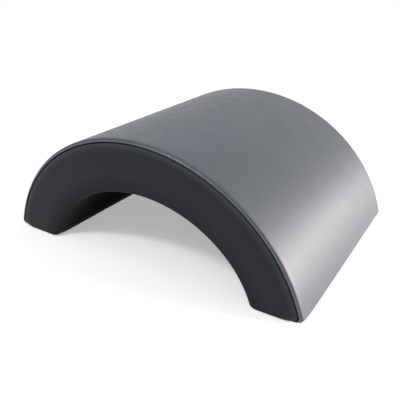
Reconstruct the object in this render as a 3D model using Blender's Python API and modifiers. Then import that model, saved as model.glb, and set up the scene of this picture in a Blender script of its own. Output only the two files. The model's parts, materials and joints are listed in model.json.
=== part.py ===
"""Upholstered spine arch: a plywood arch frame, padded with foam and covered in vinyl.

Metres, +Z up. The floor is z = 0, X runs from the left foot to the right foot and Y from front to back.
The origin is on the floor, midway between the feet and midway from front to back.
"""

import math

import bmesh
import bpy
from mathutils import Vector

# The whole arch
LENGTH = 0.600  # from foot to foot, where the outer curve would meet the floor
WIDTH = 0.4306
HEIGHT = 0.2262
OUTER_DROP = 0.0642  # how far below the floor the outer ellipse has its centre
TUNNEL_SPAN = 0.4080
TUNNEL_HEIGHT = 0.1346
TUNNEL_DROP = 0.0458
TUNNEL_SHIFT = 0.0072  # the tunnel lies nearer to the right foot, so the left foot is the thicker one

# Clearance between any two pieces that touch
GAP = 0.0003

# Vinyl covers
VINYL = 0.0012
FOOT_RADIUS = 0.0036  # the top cover's corner at the bottom of a foot
TUNNEL_RADIUS = 0.0096  # the underside cover's corner at the bottom of a foot
EDGE_ROUND = 0.0141  # how far from the side the top cover starts to curl down
SEAM_INSET = 0.0069  # how far below the top cover's face the side seam lies
SEAM_RADIUS = 0.0084  # the side seam's corner at the bottom of a foot
TUNNEL_ROUND = 0.008  # how far from the tunnel the side covers start to curl into it
TUNNEL_SEAM = 0.0095  # from the side to the seam in the tunnel
SIDE_FOAM_RADIUS = 0.007
TOP_FLANGE = 0.018  # the top cover's turned-under edge, past its corner
TUNNEL_FLANGE = 0.012
THREAD_RADIUS = 0.0004
THREAD_SETBACK = 0.005  # from the side to the row of stitches
THREAD_GAP = 0.0004

# Padding
TOP_FOAM = 0.022
SIDE_FOAM = 0.0125

# Plywood and pine frame
DECK = 0.004
LINING = 0.003
RIB = 0.015
FOOT_BOARD = 0.012
FOOT_BOARD_SETBACK = 0.010  # from the tunnel's face to the board, clear of the cover's corner
BATTEN_WIDTH = 0.030
BATTEN_DEPTH = 0.015
BATTEN_SINK = 0.0006  # the batten's flat face lies this far below the ribs' curved edge
BATTEN_ANGLES = (32, 61, 90, 119, 148)  # degrees along the outer ellipse

# Rubber base pads
PAD = 0.0012
PAD_SETBACK = 0.018
PAD_CORNER = 0.008

# Countersunk wood screws
SCREW_HEAD_RADIUS = 0.004
SCREW_SHANK_RADIUS = 0.002
SCREW_RIM = 0.0005
SCREW_CONE = 0.003
SCREW_TIP = 0.005
SCREW_RECESS = 0.0005
BATTEN_SCREW_LENGTH = 0.035
FOOT_SCREW_LENGTH = 0.040
FOOT_SCREW_SPREAD = 0.009  # each side of the middle of a rib's end
CUTTER_REACH = 0.004  # how far a cutter stands out of the face that it cuts

# Fineness of the curves
ARCH_STEPS = 36
CORNER_STEPS = 5
EDGE_STEPS = 4
SCREW_STEPS = 8
THREAD_RESOLUTION = 1

# Heights and insets that follow from the pieces' thicknesses
COVER_FLOOR = PAD + GAP
FRAME_FLOOR = COVER_FLOOR + VINYL + GAP
RIB_FLOOR = FRAME_FLOOR + FOOT_BOARD + GAP
UNDER_VINYL = VINYL + GAP
DECK_INSET = UNDER_VINYL + TOP_FOAM + GAP
RIB_INSET = DECK_INSET + DECK + GAP
RIB_TUNNEL_INSET = UNDER_VINYL + LINING + GAP
SIDE = WIDTH / 2
FRAME_SIDE = SIDE - UNDER_VINYL - SIDE_FOAM - GAP

# Colour, roughness and metallic value of each material
MATERIALS = {
    "vinyl_top": ((0.045, 0.051, 0.057), 0.42, 0.0),
    "vinyl_side": ((0.021, 0.024, 0.026), 0.62, 0.0),
    "thread": ((0.016, 0.017, 0.019), 0.70, 0.0),
    "foam": ((0.62, 0.60, 0.52), 0.95, 0.0),
    "plywood": ((0.60, 0.43, 0.25), 0.65, 0.0),
    "pine": ((0.68, 0.50, 0.29), 0.65, 0.0),
    "rubber": ((0.020, 0.020, 0.021), 0.85, 0.0),
    "zinc_steel": ((0.62, 0.62, 0.60), 0.35, 1.0),
}


class Ellipse:
    """The upper part of an ellipse that stands on the floor, with its centre below the floor."""

    def __init__(self, span, height, drop, shift):
        self.rise = height + drop
        self.reach = span / 2 / math.sqrt(1 - (drop / self.rise) ** 2)
        self.centre = Vector((shift, -drop))

    def normal(self, angle):
        return Vector((math.cos(angle) / self.reach, math.sin(angle) / self.rise)).normalized()

    def point(self, angle, outward=0.0):
        """(x, z) at an angle of the ellipse, moved outward along its normal."""
        on_curve = Vector((self.reach * math.cos(angle), self.rise * math.sin(angle)))
        return self.centre + on_curve + outward * self.normal(angle)

    def foot_angle(self, height, outward):
        """The angle on the right-hand side where the moved curve is at this height."""
        low, high = 0.0, math.pi / 2
        for _ in range(50):
            middle = (low + high) / 2
            if self.point(middle, outward).y < height:
                low = middle
            else:
                high = middle
        return low


OUTER = Ellipse(LENGTH, HEIGHT, OUTER_DROP, 0.0)
TUNNEL = Ellipse(TUNNEL_SPAN, TUNNEL_HEIGHT, TUNNEL_DROP, TUNNEL_SHIFT)


def arc(centre, radius, start, end):
    """Points round a corner, from one direction to another, in radians."""
    angles = [start + (end - start) * step / CORNER_STEPS for step in range(CORNER_STEPS + 1)]
    return [centre + radius * Vector((math.cos(angle), math.sin(angle))) for angle in angles]


def arch_run(ellipse, outward, floor, radius, toward_body):
    """(x, z) points from the right foot over the arch to the left foot, at an offset from the ellipse.

    Each foot ends in a round corner that stands on the floor. toward_body is -1 where the body lies
    inside the ellipse and 1 where it lies outside.
    """
    centre_outward = outward + toward_body * radius
    start = ellipse.foot_angle(floor + radius, centre_outward)
    sweep = math.pi - 2 * start
    angles = [start + sweep * step / ARCH_STEPS for step in range(ARCH_STEPS + 1)]
    over = [ellipse.point(angle, outward) for angle in angles]
    if radius == 0:
        return over
    lean = math.atan2(ellipse.normal(start).y, ellipse.normal(start).x)
    right_centre = ellipse.point(start, centre_outward)
    left_centre = ellipse.point(math.pi - start, centre_outward)
    if toward_body < 0:
        right = arc(right_centre, radius, -math.pi / 2, lean)
        left = arc(left_centre, radius, math.pi - lean, 1.5 * math.pi)
    else:
        right = arc(right_centre, radius, 1.5 * math.pi, math.pi + lean)
        left = arc(left_centre, radius, -lean, -math.pi / 2)
    return right[:-1] + over + left[1:]


def outer_run(inset, floor, radius=0.0):
    return arch_run(OUTER, -inset, floor, radius, -1)


def tunnel_run(inset, floor, radius=0.0):
    return arch_run(TUNNEL, inset, floor, radius, 1)


def arch_outline(outer_inset, tunnel_inset, floor, outer_radius=0.0, tunnel_radius=0.0):
    """The closed outline of an arch-shaped plate, seen from the front."""
    over = outer_run(outer_inset, floor, outer_radius)
    under = tunnel_run(tunnel_inset, floor, tunnel_radius)
    return over + under[::-1]


def layer_outline(inset, thickness, radius=0.0):
    """The closed outline of a layer of even thickness that follows the outer curve to the frame's floor."""
    over = outer_run(inset, FRAME_FLOOR, radius)
    under = outer_run(inset + thickness, FRAME_FLOOR)
    return over + under[::-1]


def material(slot):
    """The material of this slot, made the first time it is asked for."""
    if slot in bpy.data.materials:
        return bpy.data.materials[slot]
    colour, roughness, metallic = MATERIALS[slot]
    made = bpy.data.materials.new(slot)
    made.use_nodes = True
    shader = made.node_tree.nodes["Principled BSDF"]
    shader.inputs["Base Color"].default_value = (*colour, 1.0)
    shader.inputs["Roughness"].default_value = roughness
    shader.inputs["Metallic"].default_value = metallic
    made.diffuse_color = (*colour, 1.0)
    return made


def collection(name):
    made = bpy.data.collections.new(name)
    bpy.context.scene.collection.children.link(made)
    return made


def add(name, data, slot=None):
    """An object for a piece of the arch, or for a cutter where it has no material slot."""
    made = bpy.data.objects.new(name, data)
    if slot:
        made.data.materials.append(material(slot))
        PARTS.objects.link(made)
    else:
        made.hide_render = True
        made.display_type = "WIRE"
        CUTTERS.objects.link(made)
    return made


def plate(name, outline, near, far, slot):
    """A flat outline in X and Z, extruded from near to far along Y, as a mesh."""
    curve = bpy.data.curves.new(name, "CURVE")
    curve.dimensions = "2D"
    curve.fill_mode = "BOTH"
    curve.extrude = (far - near) / 2
    spline = curve.splines.new("POLY")
    spline.points.add(len(outline) - 1)
    for point, (x, z) in zip(spline.points, outline):
        point.co = (x, z, 0.0, 1.0)
    spline.use_cyclic_u = True
    drawn = bpy.data.objects.new(name + "_outline", curve)
    bpy.context.scene.collection.objects.link(drawn)
    drawn.location = (0.0, (near + far) / 2, 0.0)
    drawn.rotation_euler = (math.pi / 2, 0.0, 0.0)
    bpy.context.view_layer.update()
    evaluated = drawn.evaluated_get(bpy.context.evaluated_depsgraph_get())
    mesh = bpy.data.meshes.new_from_object(evaluated)
    mesh.name = name
    placement = drawn.matrix_world.copy()
    bpy.data.objects.remove(drawn)
    bpy.data.curves.remove(curve)
    form = bmesh.new()
    form.from_mesh(mesh)
    bmesh.ops.remove_doubles(form, verts=form.verts, dist=1e-6)
    bmesh.ops.recalc_face_normals(form, faces=form.faces)
    form.to_mesh(mesh)
    form.free()
    mesh.materials.clear()
    made = add(name, mesh, slot)
    made.matrix_world = placement
    return made


def block(name, size, location, lean=0.0, slot=None):
    """A rectangular block, leaned about Y from upright towards +X."""
    form = bmesh.new()
    bmesh.ops.create_cube(form, size=1.0)
    bmesh.ops.scale(form, vec=size, verts=form.verts)
    mesh = bpy.data.meshes.new(name)
    form.to_mesh(mesh)
    form.free()
    made = add(name, mesh, slot)
    made.location = location
    made.rotation_euler = (0.0, lean, 0.0)
    return made


def closed_loft(name, runs, slot):
    """A tube-like solid through a closed ring of rows of points, with both of its ends filled."""
    form = bmesh.new()
    rows = [[form.verts.new(point) for point in run] for run in runs]
    for row, following in zip(rows, rows[1:] + rows[:1]):
        for step in range(len(row) - 1):
            form.faces.new((row[step], following[step], following[step + 1], row[step + 1]))
    form.faces.new([row[0] for row in rows[::-1]])
    form.faces.new([row[-1] for row in rows])
    bmesh.ops.recalc_face_normals(form, faces=form.faces)
    mesh = bpy.data.meshes.new(name)
    form.to_mesh(mesh)
    form.free()
    return add(name, mesh, slot)


def screw(name, length, location, lean, slot=None, grow=0.0):
    """A countersunk wood screw whose head faces local +Z, or the larger cutter that clears it."""
    mouth = CUTTER_REACH if grow else 0.0
    head = SCREW_HEAD_RADIUS + grow
    shank = SCREW_SHANK_RADIUS + grow
    profile = (
        (0.0, mouth),
        (head, mouth),
        (head, -SCREW_RIM - grow),
        (shank, -SCREW_CONE - grow),
        (shank, SCREW_TIP - length),
        (0.0, -length - grow),
    )
    mesh = bpy.data.meshes.new(name)
    points = [(radius, 0.0, height) for radius, height in profile]
    mesh.from_pydata(points, [(step, step + 1) for step in range(len(points) - 1)], [])
    made = add(name, mesh, slot)
    turn = made.modifiers.new("turn", "SCREW")
    turn.steps = turn.render_steps = SCREW_STEPS
    turn.use_merge_vertices = True
    turn.merge_threshold = 1e-5
    made.location = location
    made.rotation_euler = (0.0, lean, 0.0)
    return made


def cut(piece, cutter):
    clearance = piece.modifiers.new(cutter.name, "BOOLEAN")
    clearance.operation = "DIFFERENCE"
    clearance.object = cutter


def band_rows(depth):
    """Rows of points along the top cover, from its front edge to its back edge, this deep under its face."""
    curl = [math.pi / 2 * step / EDGE_STEPS for step in range(EDGE_STEPS + 1)]
    front = [(depth + (EDGE_ROUND - depth) * (1 - math.cos(turn)), math.sin(turn)) for turn in curl]
    stations = [(y - SIDE, fullness) for y, fullness in front]
    stations += [(SIDE - y, fullness) for y, fullness in front[::-1]]
    floor = COVER_FLOOR + depth
    flange = outer_run(depth, floor, FOOT_RADIUS - depth)[0].x - TOP_FLANGE
    rows = []
    for y, fullness in stations:
        radius = SEAM_RADIUS + (FOOT_RADIUS - depth - SEAM_RADIUS) * fullness
        over = outer_run(SEAM_INSET + (depth - SEAM_INSET) * fullness, floor, radius)
        right_end, left_end = Vector((flange, floor)), Vector((-flange, floor))
        rows.append([(x, y, z) for x, z in [right_end] + over + [left_end]])
    return rows


def make_top_cover():
    """The vinyl band. Its edges curl down to the side seams and its ends turn under the feet."""
    closed_loft("cover_top", band_rows(0.0) + band_rows(VINYL)[::-1], "vinyl_top")


def side_rows(front_or_back, depth):
    """Rows along a side cover, from its outer seam to its seam in the tunnel, this deep under its face."""
    rows = [(outer_run(SEAM_INSET + GAP, FRAME_FLOOR, SEAM_RADIUS), depth)]
    curl = TUNNEL_ROUND - depth
    for step in range(EDGE_STEPS + 1):
        turn = math.pi / 2 * step / EDGE_STEPS
        inset = depth + curl * (1 - math.sin(turn))
        run = tunnel_run(inset, FRAME_FLOOR, TUNNEL_RADIUS - inset)
        rows.append((run, depth + curl * (1 - math.cos(turn))))
    rows.append((run, TUNNEL_SEAM))
    return [[(x, front_or_back * (SIDE - from_side), z) for x, z in run] for run, from_side in rows]


def make_side_cover(name, front_or_back):
    """A flat vinyl arch that curls a little way into the tunnel."""
    face = side_rows(front_or_back, 0.0)
    back = side_rows(front_or_back, VINYL)
    closed_loft(name, face + back[::-1], "vinyl_side")


def make_underside_cover():
    """The vinyl in the tunnel. Its ends turn under the feet."""
    face = tunnel_run(0.0, COVER_FLOOR, TUNNEL_RADIUS)
    back = tunnel_run(VINYL, COVER_FLOOR + VINYL, TUNNEL_RADIUS - VINYL)
    right_end = face[0].x + TUNNEL_FLANGE
    left_end = face[-1].x - TUNNEL_FLANGE
    right_flange = [Vector((right_end, COVER_FLOOR + VINYL)), Vector((right_end, COVER_FLOOR))]
    left_flange = [Vector((left_end, COVER_FLOOR)), Vector((left_end, COVER_FLOOR + VINYL))]
    outline = right_flange + face + left_flange + back[::-1]
    side = SIDE - TUNNEL_SEAM - GAP
    plate("cover_underside", outline, -side, side, "vinyl_side")


def make_topstitch(name, front_or_back):
    """The sewing thread that runs along the top cover beside a side seam, from foot to foot."""
    fullness = math.sin(math.acos(1 - THREAD_SETBACK / EDGE_ROUND))
    radius = SEAM_RADIUS + (FOOT_RADIUS - SEAM_RADIUS) * fullness
    lift = THREAD_RADIUS + THREAD_GAP
    route = outer_run(SEAM_INSET * (1 - fullness) - lift, COVER_FLOOR - lift, radius + lift)
    curve = bpy.data.curves.new(name, "CURVE")
    curve.dimensions = "3D"
    curve.bevel_depth = THREAD_RADIUS
    curve.bevel_resolution = THREAD_RESOLUTION
    curve.use_fill_caps = True
    spline = curve.splines.new("POLY")
    spline.points.add(len(route) - 1)
    for point, (x, z) in zip(spline.points, route):
        point.co = (x, front_or_back * (SIDE - THREAD_SETBACK), z, 1.0)
    add(name, curve, "thread")


def make_padding():
    top = layer_outline(UNDER_VINYL, TOP_FOAM, FOOT_RADIUS - UNDER_VINYL)
    plate("foam_top", top, -FRAME_SIDE, FRAME_SIDE, "foam")
    insets = (SEAM_INSET + GAP, TUNNEL_ROUND)
    side = arch_outline(*insets, FRAME_FLOOR, SIDE_FOAM_RADIUS, TUNNEL_RADIUS - TUNNEL_ROUND)
    inner, outer = FRAME_SIDE + GAP, FRAME_SIDE + GAP + SIDE_FOAM
    plate("foam_side_front", side, -outer, -inner, "foam")
    plate("foam_side_back", side, inner, outer, "foam")


def make_bent_boards():
    plate("deck_outer", layer_outline(DECK_INSET, DECK), -FRAME_SIDE, FRAME_SIDE, "plywood")
    above_corner = COVER_FLOOR + TUNNEL_RADIUS
    face = tunnel_run(UNDER_VINYL, above_corner)
    back = tunnel_run(UNDER_VINYL + LINING, above_corner)
    plate("lining_inner", face + back[::-1], -FRAME_SIDE, FRAME_SIDE, "plywood")


def make_ribs():
    outline = arch_outline(RIB_INSET, RIB_TUNNEL_INSET, RIB_FLOOR)
    ribs = {}
    for name, y in (("front", RIB / 2 - FRAME_SIDE), ("middle", 0.0), ("back", FRAME_SIDE - RIB / 2)):
        ribs[y] = plate("rib_" + name, outline, y - RIB / 2, y + RIB / 2, "plywood")
    return ribs


def make_battens(ribs):
    """Battens from front to back, let into the ribs' outer edges and screwed to each rib."""
    count = 0
    for number, degrees in enumerate(BATTEN_ANGLES, 1):
        angle = math.radians(degrees)
        normal = OUTER.normal(angle)
        lean = math.atan2(normal.x, normal.y)
        face = OUTER.point(angle, -RIB_INSET - BATTEN_SINK)
        centre = face - normal * BATTEN_DEPTH / 2
        size = (BATTEN_WIDTH, 2 * FRAME_SIDE, BATTEN_DEPTH)
        batten = block(f"batten_{number}", size, (centre.x, 0.0, centre.y), lean, "pine")
        notch_depth = BATTEN_DEPTH + GAP + CUTTER_REACH
        notch_size = (BATTEN_WIDTH + 2 * GAP, 2 * FRAME_SIDE + CUTTER_REACH, notch_depth)
        notch_centre = centre + normal * (CUTTER_REACH - GAP) / 2
        notch = block(f"notch_{number}", notch_size, (notch_centre.x, 0.0, notch_centre.y), lean)
        head = face - normal * SCREW_RECESS
        for y, rib in ribs.items():
            count += 1
            cut(rib, notch)
            place = (head.x, y, head.y)
            screw(f"screw_batten_{count}", BATTEN_SCREW_LENGTH, place, lean, "zinc_steel")
            hole = screw(f"hole_batten_{count}", BATTEN_SCREW_LENGTH, place, lean, grow=GAP)
            cut(batten, hole)
            cut(rib, hole)


def foot_limits(floor, ceiling, outer_inset, tunnel_inset):
    """(name, left x, right x) of the room inside each foot, between these heights."""
    outer = OUTER.point(OUTER.foot_angle(ceiling, -outer_inset), -outer_inset).x
    tunnel_angle = TUNNEL.foot_angle(floor, tunnel_inset)
    right = TUNNEL.point(tunnel_angle, tunnel_inset).x
    left = TUNNEL.point(math.pi - tunnel_angle, tunnel_inset).x
    return (("left", -outer, left), ("right", right, outer))


def make_foot_boards(ribs):
    """A board in the bottom of each foot, with two screws up into each rib's end."""
    count = 0
    board_top = FRAME_FLOOR + FOOT_BOARD
    boards = foot_limits(FRAME_FLOOR, board_top, RIB_INSET, FOOT_BOARD_SETBACK)
    rib_ends = foot_limits(RIB_FLOOR, FRAME_FLOOR + FOOT_SCREW_LENGTH, RIB_INSET, RIB_TUNNEL_INSET)
    for (name, left, right), (_, rib_left, rib_right) in zip(boards, rib_ends):
        size = (right - left, 2 * FRAME_SIDE, FOOT_BOARD)
        place = ((left + right) / 2, 0.0, (FRAME_FLOOR + board_top) / 2)
        board = block("foot_board_" + name, size, place, slot="plywood")
        middle = (max(left, rib_left) + min(right, rib_right)) / 2
        for y, rib in ribs.items():
            for x in (middle - FOOT_SCREW_SPREAD, middle + FOOT_SCREW_SPREAD):
                count += 1
                head = (x, y, FRAME_FLOOR + SCREW_RECESS)
                screw(f"screw_foot_{count}", FOOT_SCREW_LENGTH, head, math.pi, "zinc_steel")
                hole = screw(f"hole_foot_{count}", FOOT_SCREW_LENGTH, head, math.pi, grow=GAP)
                cut(board, hole)
                cut(rib, hole)


def make_base_pads():
    """A thin rubber sheet under each foot, with round corners. The arch stands on these."""
    for name, left, right in foot_limits(0.0, 0.0, PAD_SETBACK, PAD_SETBACK):
        size = (right - left, WIDTH - 2 * PAD_SETBACK, PAD)
        pad = block("base_pad_" + name, size, ((left + right) / 2, 0.0, PAD / 2), slot="rubber")
        form = bmesh.new()
        form.from_mesh(pad.data)
        rise = {edge: abs(edge.verts[0].co.z - edge.verts[1].co.z) for edge in form.edges}
        upright = [edge for edge in form.edges if rise[edge] > PAD / 2]
        corners = {"segments": CORNER_STEPS, "profile": 0.5, "affect": "EDGES"}
        bmesh.ops.bevel(form, geom=upright, offset=PAD_CORNER, **corners)
        form.to_mesh(pad.data)
        form.free()


for old in list(bpy.data.objects):
    bpy.data.objects.remove(old)
PARTS = collection("spine_arch")
CUTTERS = collection("cutters")
CUTTERS.hide_render = True

make_top_cover()
make_side_cover("cover_side_front", -1)
make_side_cover("cover_side_back", 1)
make_underside_cover()
make_topstitch("topstitch_front", -1)
make_topstitch("topstitch_back", 1)
make_padding()
make_bent_boards()
rib_by_y = make_ribs()
make_battens(rib_by_y)
make_foot_boards(rib_by_y)
make_base_pads()
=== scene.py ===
"""Upholstered spine arch: the looks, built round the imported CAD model.

Metres, +Z up, in the CAD model's own frame: the floor is z = 0, X runs from the left foot to the right foot
and Y from front to back.
"""

import json
import math

import bmesh
import bpy
import numpy as np
from mathutils import Matrix, Vector


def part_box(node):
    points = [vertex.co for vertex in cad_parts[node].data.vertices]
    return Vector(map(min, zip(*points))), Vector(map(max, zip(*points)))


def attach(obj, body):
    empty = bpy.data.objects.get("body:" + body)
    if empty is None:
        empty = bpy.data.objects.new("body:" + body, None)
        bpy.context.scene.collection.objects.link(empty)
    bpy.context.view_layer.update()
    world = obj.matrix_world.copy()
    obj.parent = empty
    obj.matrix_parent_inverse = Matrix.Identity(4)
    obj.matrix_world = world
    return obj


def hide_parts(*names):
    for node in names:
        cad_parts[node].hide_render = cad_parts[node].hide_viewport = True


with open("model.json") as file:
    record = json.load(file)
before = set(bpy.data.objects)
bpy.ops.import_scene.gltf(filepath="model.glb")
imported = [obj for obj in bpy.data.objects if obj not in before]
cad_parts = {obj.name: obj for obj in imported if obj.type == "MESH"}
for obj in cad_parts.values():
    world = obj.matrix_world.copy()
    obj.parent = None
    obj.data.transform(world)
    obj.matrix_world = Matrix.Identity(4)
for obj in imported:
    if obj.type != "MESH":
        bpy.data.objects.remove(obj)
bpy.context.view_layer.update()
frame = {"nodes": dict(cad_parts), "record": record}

# The arch, with the CAD model's values
LENGTH = 0.600
WIDTH = 0.4306
HEIGHT = 0.2262
OUTER_DROP = 0.0642
TUNNEL_SPAN = 0.4080
TUNNEL_HEIGHT = 0.1346
TUNNEL_DROP = 0.0458
TUNNEL_SHIFT = 0.0072
SIDE = WIDTH / 2
VINYL = 0.0012
FOOT_RADIUS = 0.0045
SEAM_RADIUS = 0.0080
SEAM_INSET = 0.0083
TUNNEL_RADIUS = 0.0096  # at the tunnel's mouth
TUNNEL_RADIUS_WITHIN = 0.0035
TUNNEL_ROUND = 0.008
TUNNEL_SEAM = 0.0108
TOP_FLANGE = 0.018
TUNNEL_FLANGE = 0.012
COVER_FLOOR = 0.0015
FRAME_FLOOR = 0.0030
FRAME_SIDE = 0.2010
DECK_INSET = 0.0238
GAP = 0.0003
SEAM_GAP = 0.0002
PAD = 0.0012

# Across the top cover's edge: (distance in from the side, depth under the arch's outer curve) in millimetres,
# from the bottom of the seam groove over the rolled lip, through the row of stitches and up to the crown
LIP_PROFILE = (
    (7.0, 7.6), (5.6, 7.5), (4.2, 7.2), (3.1, 6.7), (2.45, 6.1), (2.2, 5.5), (2.3, 4.9), (2.55, 4.3),
    (2.85, 3.7), (3.15, 3.2), (3.45, 2.9), (3.85, 2.65), (4.5, 2.05), (5.4, 1.5), (6.8, 1.12), (9.0, 0.92),
    (12.0, 0.83), (15.0, 0.8),
)
GROOVE_FROM = 0.0060  # the depth at which the painted shade in the seam groove starts
GROOVE_FADE = 0.0014
LIP_CREST = 0.0044  # the depth of the painted highlight along the lip's crest
LIP_CREST_WIDTH = 0.0013
LIP_HIGHLIGHT = 1.8
STITCH_SHADE = 0.45  # how much painted shade darkens the vinyl beside the stitches, on the crown's side, which also makes it rougher
STITCH_SHADE_REACH = 0.0060
INNER_START = 0.0078  # from the side to where the inner face starts
INNER_EDGE = 0.009  # nearer to the side than this, the inner face lies deeper
INNER_EDGE_DEPTH = 0.0074
INNER_DEPTH = 0.0042

# The stitches
STITCH_IN = 0.0035  # from the side to the row of stitches
STITCH_DEPTH = 0.0027  # of the valley that the stitches lie in, under the outer curve
STITCH_PITCH = 0.0046
STITCH_LENGTH = 0.0021
STITCH_SLANT = 0.00022
STITCH_STEPS = 9
STITCH_SIDES = 8
STITCHES_ROUND_CORNER = 2  # how many go on round the corner of each foot
THREAD = 0.00076  # the thread's radius
THREAD_SUNK = 0.0005  # how deep its ends are in the needle holes
PUCKER = 0.00035  # how far each needle hole is drawn in
PUCKER_WIDTH = 0.0009

# How the top cover's edge settles
FRONT_CORNER = 0.0045  # how much rounder the feet are at the front edge
FRONT_CORNER_REACH = 0.020
CORNER_LIFT = 0.0030  # how far the vinyl is pulled up at a foot's front corner
CORNER_LIFT_REACH = 0.011
CORNER_LIFT_HEIGHT = 0.028
LEFT_SINK = 0.0022  # how much lower the lip lies over the left foot
LEFT_SINK_FROM = 0.70  # where that starts, as a share of the way from the right foot to the left one
LEFT_SINK_FADE = 0.16
LIP_LOWEST = 0.0072  # the depth at which the lip meets the seam groove
LIP_FADE = 0.003
LIP_IN = 0.003  # from the side to the lip
LIP_REACH = 0.007

# Padding between the seams
CROWN = 0.0008  # how far the top cover is pushed out by its foam
PANEL_CROWN = 0.0014
PANEL_CROWN_EDGE = 0.014  # how far from the tunnel a side cover's bulge starts to fade
STREAK = 0.00009  # soft streaks in the top cover, along the arch
STREAK_STRETCH = 3.5
STREAK_MARGIN = 0.012
STREAK_FADE = 0.020
FINE_WAVES = {"shortest": 0.012, "longest": 0.05}
EDGE_UNEVEN = 0.00012  # unevenness of the top cover's edges, which fades out towards the crown
EDGE_UNEVEN_REACH = 0.004
PANEL_UNEVEN = 0.00025
PANEL_UNEVEN_FADE = 0.02
LINING_UNEVEN = 0.0003
LINING_UNEVEN_FADE = 0.01
CLOTH_PRESSURE = 4.0
CLOTH_FRAMES = 20
CLOTH_ROWS = 85
CLOTH_COLUMNS = 41
CLOTH_PANEL_COLUMNS = 15

# Where a side cover's edges turn in: wide at the seam beside the top cover, narrow at the feet
PANEL_WIDTH = 0.085  # roughly, for the columns beside its seam
SHOULDER = 0.0185
SHOULDER_DROP = 0.0048
SLOT = 0.0014  # the width of the slot at the seam, which is drawn in and darkened with painted shade
SLOT_DEPTH = 0.0026
RIM_HIGHLIGHT = 0.013  # the width of the painted highlight, a pale rim, along the seam
ROLL = 0.0030
GROOVE = 0.0012
FULL_SHADE = 1.33  # the seam value at which painted shade darkens the vinyl as far as it goes
TUNNEL_SHADE = 0.024  # how far from the tunnel the painted shade on a side cover starts
TUNNEL_GROOVE = 0.0032  # how deep the seam in the tunnel is drawn in
TUNNEL_GROOVE_REACH = 0.0022
HEM_SHARE = 0.45  # of its width that a side cover keeps where it ends under a foot
HEM_IN = 0.014  # from the side to that end

# The lining in the tunnel, by height above the floor
CREASE_HEIGHT = 0.0112
CREASE_WIDTH = 0.0016
CREASE_DEPTH = 0.0010
HEM_HEIGHT = 0.0055
HEM_WIDTH = 0.0036
HEM_BULGE = 0.0009
HEM_BULGE_WIDTH = 0.0032
# How much less painted shade the hem takes, where painted light lightens it as it rounds towards the floor
HEM_PALER = 0.35
MOUTH_REACH = 0.007  # how far in from the mouth the feet's inner corners stay rounder
DARK_FROM = 0.10  # how far in from the mouth the painted shade on the lining is at its darkest
DARK_CURVE = 0.45

# Foam
FOAM_SOFT = 0.0015  # how far a foam's edges are rounded away
FOAM_DEPTH = 0.0046  # of the top foam's face under the outer curve
SIDE_FOAM_IN = 0.0036

# Base pads
STUD_SPACING = 0.0075
STUD_MARGIN = 0.008
SHEET_SHARE = 0.55  # of a pad's thickness, the rest being its studs

# Fineness
CORNER_STEPS = 12
FLANGE_STEPS = 4
LIP_STEPS = 26
CURL_STEPS = 9
CROWN_COLUMNS = 34
PANEL_COLUMNS = 30
CROWN_CROWDING = 1.6  # how much the columns crowd towards the edges
CLOTH_CROWDING = 1.8
ALONG_STEP = 0.004

# The studio
WORLD_LIGHT = 0.35
FLOOR_LIFT = 0.378
FLOOR_FADE = (0.55, 1.4)  # from where to where the floor turns plain white, from the origin

# The camera that the photograph was taken with
LENS = 44.238
SENSOR = 36.0
AZIMUTH = math.radians(32.14)
ELEVATION = math.radians(25.26)
DISTANCE = 1.0078
AIM_RIGHT = -0.0085
AIM_UP = 0.0376


class Ellipse:
    """The upper part of an ellipse that stands on the floor, with its centre below the floor."""

    def __init__(self, span, height, drop, shift):
        self.rise = height + drop
        self.reach = span / 2 / math.sqrt(1 - (drop / self.rise) ** 2)
        self.centre = np.array((shift, -drop))

    def normals(self, angles):
        lean = np.stack([np.cos(angles) / self.reach, np.sin(angles) / self.rise], axis=-1)
        return lean / np.linalg.norm(lean, axis=-1, keepdims=True)

    def points(self, angles, outward):
        on_curve = np.stack([self.reach * np.cos(angles), self.rise * np.sin(angles)], axis=-1)
        return self.centre + on_curve + outward * self.normals(angles)

    def foot_angle(self, height, outward):
        """The angle on the right-hand side where the moved curve is at this height."""
        low, high = 0.0, math.pi / 2
        for _ in range(50):
            middle = (low + high) / 2
            if self.points(middle, outward)[1] < height:
                low = middle
            else:
                high = middle
        return low


OUTER = Ellipse(LENGTH, HEIGHT, OUTER_DROP, 0.0)
TUNNEL = Ellipse(TUNNEL_SPAN, TUNNEL_HEIGHT, TUNNEL_DROP, TUNNEL_SHIFT)


def circle(angles):
    return np.stack([np.cos(angles), np.sin(angles)], axis=-1)


def arch_run(ellipse, outward, floor, radius, toward_body, shares, flange_ends=None):
    """(x, z) points and outward normals from the right foot over the arch to the left foot.

    The shares, from 0 to 1, place the points between the two round corners. flange_ends are the x values
    where the run ends under the feet.
    """
    centre_outward = outward + toward_body * radius
    start = ellipse.foot_angle(floor + radius, centre_outward)
    angles = start + (math.pi - 2 * start) * shares
    lean = math.atan2(*ellipse.normals(start)[::-1])
    turn = np.linspace(0, 1, CORNER_STEPS + 1)
    if toward_body < 0:
        right = circle(-math.pi / 2 + (lean + math.pi / 2) * turn)
        left = circle(math.pi - lean + (math.pi / 2 + lean) * turn)
    else:
        right = circle(1.5 * math.pi + (lean - math.pi / 2) * turn)
        left = circle(-lean + (lean - math.pi / 2) * turn)
    points = [
        ellipse.points(start, centre_outward) + radius * right[:-1],
        ellipse.points(angles, outward),
        ellipse.points(math.pi - start, centre_outward) + radius * left[1:],
    ]
    normals = [right[:-1], -toward_body * ellipse.normals(angles), left[1:]]
    if flange_ends:
        along = np.linspace(0, 1, FLANGE_STEPS, endpoint=False)[:, None]
        down = np.tile((0.0, -1.0), (FLANGE_STEPS, 1))
        right_end, left_end = (np.array((x, floor)) for x in flange_ends)
        points.insert(0, right_end + (points[0][0] - right_end) * along)
        points.append(left_end + (points[-1][-1] - left_end) * along[::-1])
        normals = [down, *normals, down]
    return np.concatenate(points), np.concatenate(normals)


def lengths_along(points):
    steps = np.linalg.norm(np.diff(points, axis=0), axis=1)
    return np.concatenate([[0.0], np.cumsum(steps)])


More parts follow.
